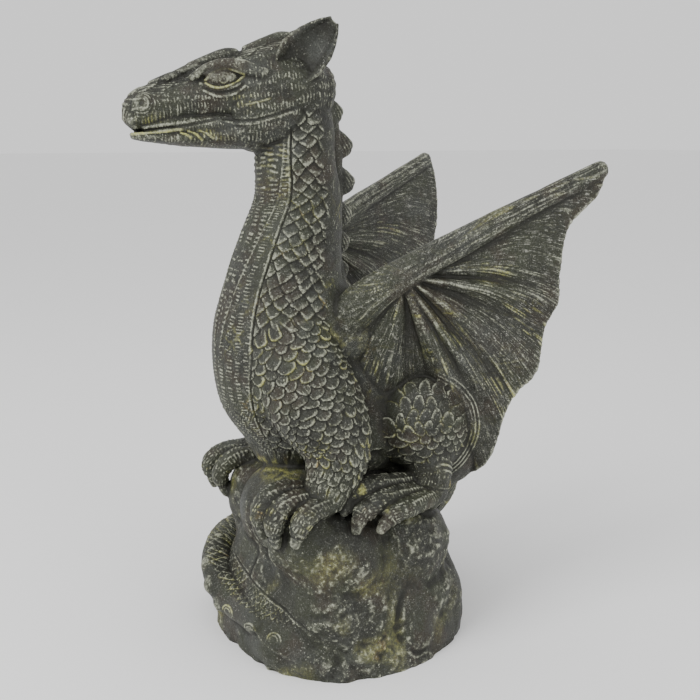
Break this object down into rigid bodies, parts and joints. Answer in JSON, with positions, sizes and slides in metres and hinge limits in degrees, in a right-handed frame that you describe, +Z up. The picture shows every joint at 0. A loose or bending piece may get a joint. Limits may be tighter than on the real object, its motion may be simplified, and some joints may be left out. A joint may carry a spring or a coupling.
{
  "type": "garden dragon statue",
  "caption": "Seated winged dragon on a rough rock, cast in one piece: long scaled neck, lobed crest, half spread wings, tail round the rock.",
  "frame": {"origin": "on the flat underside of the rock, below the dragon's middle plane", "axes": "+Z up, the dragon's chest faces -Y, its left wing is on +X"},
  "size_m": [0.2606, 0.3502, 0.4957],
  "materials": {
    "cast_stone": "cast stone, nearly black olive grey, dry-brushed light grey on the raised carving, with dull yellow-green and ochre in places"
  },
  "bodies": {
    "root": {"dragon_statue": "cast_stone"}
  },
  "joints": []
}
